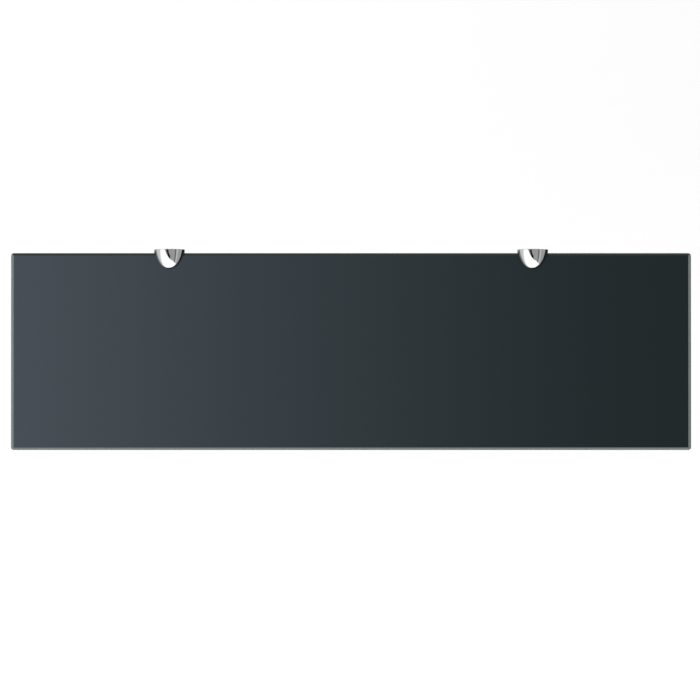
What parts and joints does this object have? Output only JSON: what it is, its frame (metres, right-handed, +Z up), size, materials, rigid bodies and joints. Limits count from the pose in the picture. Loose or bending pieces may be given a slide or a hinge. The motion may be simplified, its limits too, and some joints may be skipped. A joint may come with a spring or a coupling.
{
  "type": "wall shelf with brackets",
  "caption": "Floating wall shelf: a black glass pane with polished edges, held at its back edge by chrome clamp brackets that screw to the wall.",
  "frame": {"origin": "in the wall plane, midway between the two wall screw holes, at mid-thickness of the glass", "axes": "+X along the shelf's width, +Y into the wall, +Z up, so the shelf reaches out along -Y"},
  "size_m": [0.7, 0.2065, 0.0358],
  "materials": {
    "black_glass": "black tempered glass, gloss face, edges ground round and polished",
    "chrome": "zinc die casting, polished and chrome plated",
    "pad_rubber": "black moulded rubber pad, matt",
    "presser_nylon": "grey moulded nylon",
    "screw_steel": "zinc-plated steel set screw"
  },
  "bodies": {
    "brackets": {"left_housing": "chrome", "left_upper_pad": "pad_rubber", "right_housing": "chrome", "right_upper_pad": "pad_rubber"},
    "pane": {"glass_shelf": "black_glass"},
    "left_presser": {"left_presser": "presser_nylon", "left_presser_pad": "pad_rubber"},
    "left_screw": {"left_clamp_screw": "screw_steel"},
    "right_presser": {"right_presser": "presser_nylon", "right_presser_pad": "pad_rubber"},
    "right_screw": {"right_clamp_screw": "screw_steel"}
  },
  "joints": [
    {"name": "pane_slide", "type": "slide", "parent": "brackets", "child": "pane", "axis": [0, -1, 0], "range_m": [0, 0.034]},
    {"name": "left_presser_travel", "type": "slide", "parent": "brackets", "child": "left_presser", "axis": [0, 0, -1], "range_m": [0, 0.002]},
    {"name": "left_screw_turn", "type": "hinge", "parent": "left_presser", "child": "left_screw", "pos_m": [-0.187, -0.014, -0.012], "axis": [0, 0, -1], "range_deg": [0, 720]},
    {"name": "right_presser_travel", "type": "slide", "parent": "brackets", "child": "right_presser", "axis": [0, 0, -1], "range_m": [0, 0.002]},
    {"name": "right_screw_turn", "type": "hinge", "parent": "right_presser", "child": "right_screw", "pos_m": [0.187, -0.014, -0.012], "axis": [0, 0, -1], "range_deg": [0, 720]}
  ],
  "couplings": [
    {"joint": "left_screw_turn", "follows": "left_presser_travel", "rad_per_m": 6283.2},
    {"joint": "right_screw_turn", "follows": "right_presser_travel", "rad_per_m": 6283.2}
  ]
}
